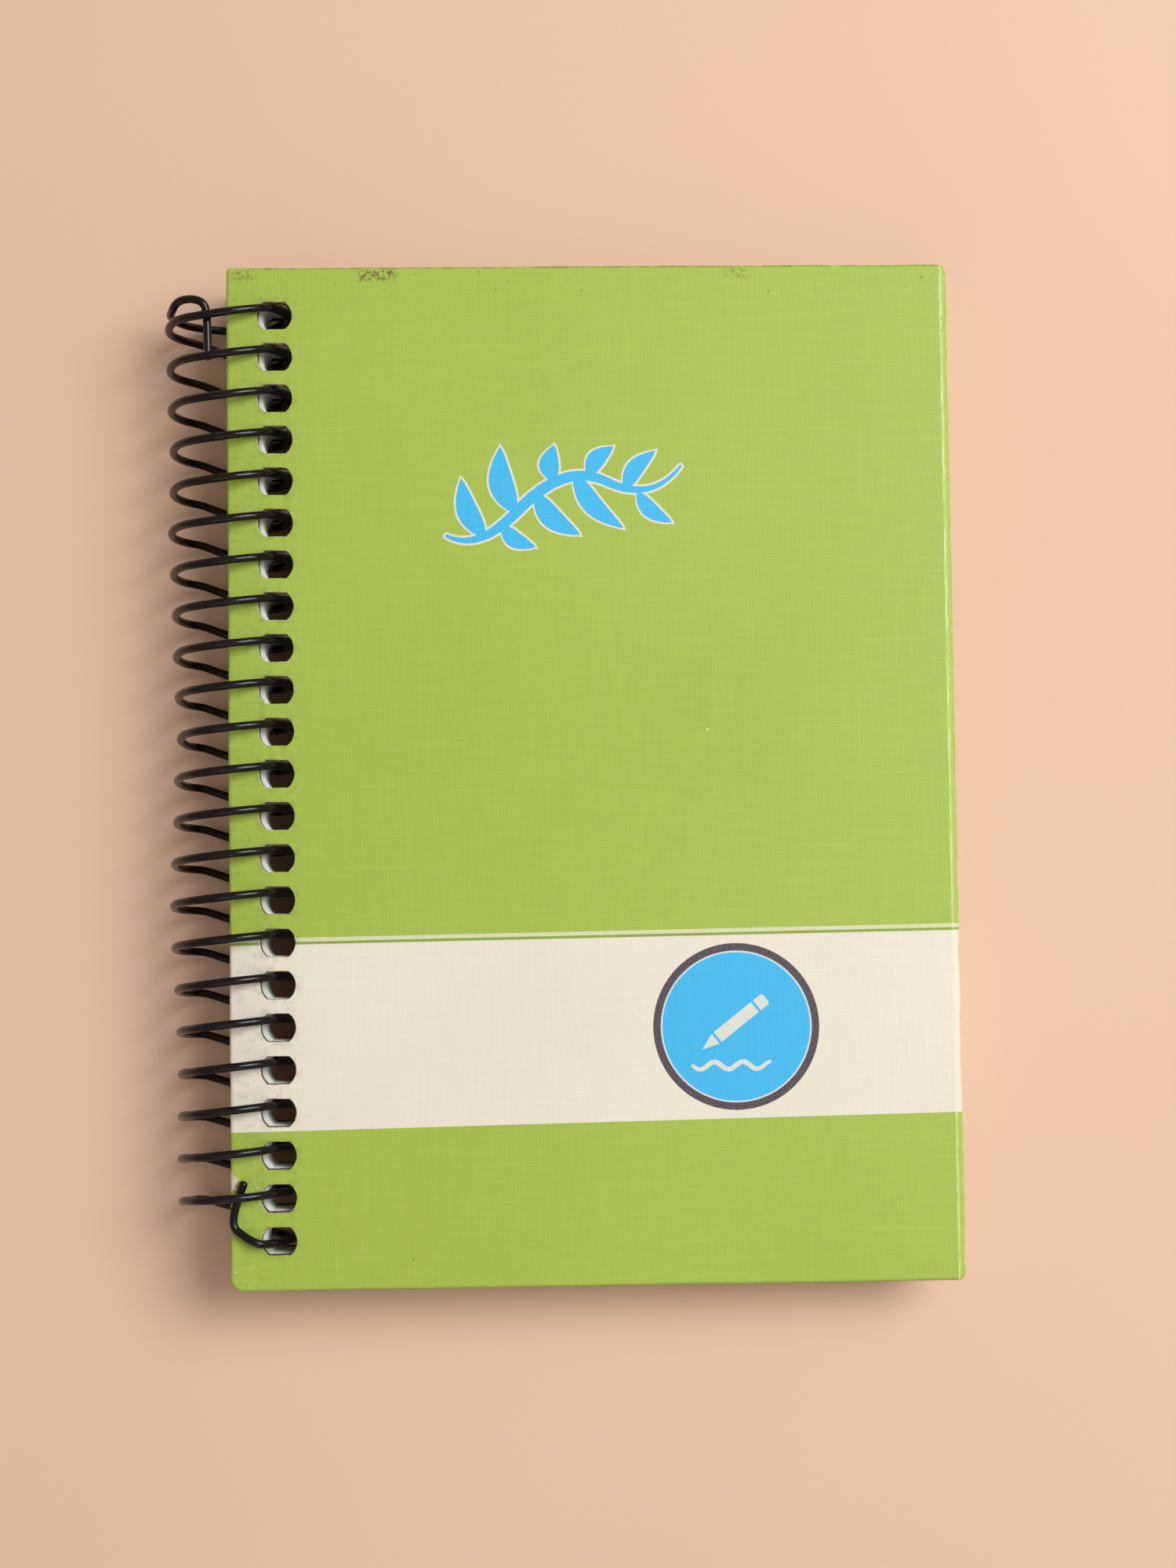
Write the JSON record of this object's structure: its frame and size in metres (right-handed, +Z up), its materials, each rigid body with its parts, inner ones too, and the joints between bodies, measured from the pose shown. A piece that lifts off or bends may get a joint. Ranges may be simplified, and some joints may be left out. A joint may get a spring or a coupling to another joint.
{
  "type": "coil-bound pocket notebook",
  "caption": "Pocket notebook with two hard covers and punched ruled leaves on one coated wire coil; the covers and leaves turn about the coil's axis.",
  "frame": {"origin": "centre of the bounding box at its bottom; the coil's underside touches z = 0", "axes": "+Z up, out of the front cover; +Y along the spine towards the head; +X from the spine to the fore-edge"},
  "size_m": [0.1198, 0.1544, 0.0192],
  "materials": {
    "board": "grey-brown pulp board, bare",
    "cover_paper": "printed and linen-embossed, satin",
    "lining": "uncoated",
    "coated_wire": "black nylon coating, satin",
    "leaf_paper": "uncoated, ruled"
  },
  "bodies": {
    "base": {"back_board": "board", "back_wrap": "cover_paper", "back_endpaper": "lining", "coil": "coated_wire", "coil_end_top": "coated_wire", "coil_end_bottom": "coated_wire"},
    "leaves_49_60": {"leaf_pack_5": "leaf_paper"},
    "leaves_37_48": {"leaf_pack_4": "leaf_paper"},
    "leaves_25_36": {"leaf_pack_3": "leaf_paper"},
    "leaves_13_24": {"leaf_pack_2": "leaf_paper"},
    "leaves_2_12": {"leaf_pack_1": "leaf_paper"},
    "first_leaf": {"first_leaf": "leaf_paper"},
    "front_cover": {"front_board": "board", "front_wrap": "cover_paper", "front_endpaper": "lining"}
  },
  "joints": [
    {"name": "leaves_49_60_turn", "type": "hinge", "parent": "base", "child": "leaves_49_60", "pos_m": [-0.05031, 0, 0.00962], "axis": [0, -1, 0], "range_deg": [0, 180], "deforming": ["coil_end_top", "coil_end_bottom"]},
    {"name": "leaves_37_48_turn", "type": "hinge", "parent": "leaves_49_60", "child": "leaves_37_48", "pos_m": [-0.05031, 0, 0.00962], "axis": [0, -1, 0], "range_deg": [0, 180], "deforming": ["coil_end_top", "coil_end_bottom"]},
    {"name": "leaves_25_36_turn", "type": "hinge", "parent": "leaves_37_48", "child": "leaves_25_36", "pos_m": [-0.05031, 0, 0.00962], "axis": [0, -1, 0], "range_deg": [0, 180], "deforming": ["coil_end_top", "coil_end_bottom"]},
    {"name": "leaves_13_24_turn", "type": "hinge", "parent": "leaves_25_36", "child": "leaves_13_24", "pos_m": [-0.05031, 0, 0.00962], "axis": [0, -1, 0], "range_deg": [0, 180], "deforming": ["coil_end_top", "coil_end_bottom"]},
    {"name": "leaves_2_12_turn", "type": "hinge", "parent": "leaves_13_24", "child": "leaves_2_12", "pos_m": [-0.05031, 0, 0.00962], "axis": [0, -1, 0], "range_deg": [0, 180], "deforming": ["coil_end_top", "coil_end_bottom"]},
    {"name": "first_leaf_turn", "type": "hinge", "parent": "leaves_2_12", "child": "first_leaf", "pos_m": [-0.05031, 0, 0.00962], "axis": [0, -1, 0], "range_deg": [0, 180], "deforming": ["coil_end_top", "coil_end_bottom"]},
    {"name": "front_cover_turn", "type": "hinge", "parent": "first_leaf", "child": "front_cover", "pos_m": [-0.05031, 0, 0.00962], "axis": [0, -1, 0], "range_deg": [0, 183.5], "deforming": ["coil_end_top", "coil_end_bottom"]}
  ]
}
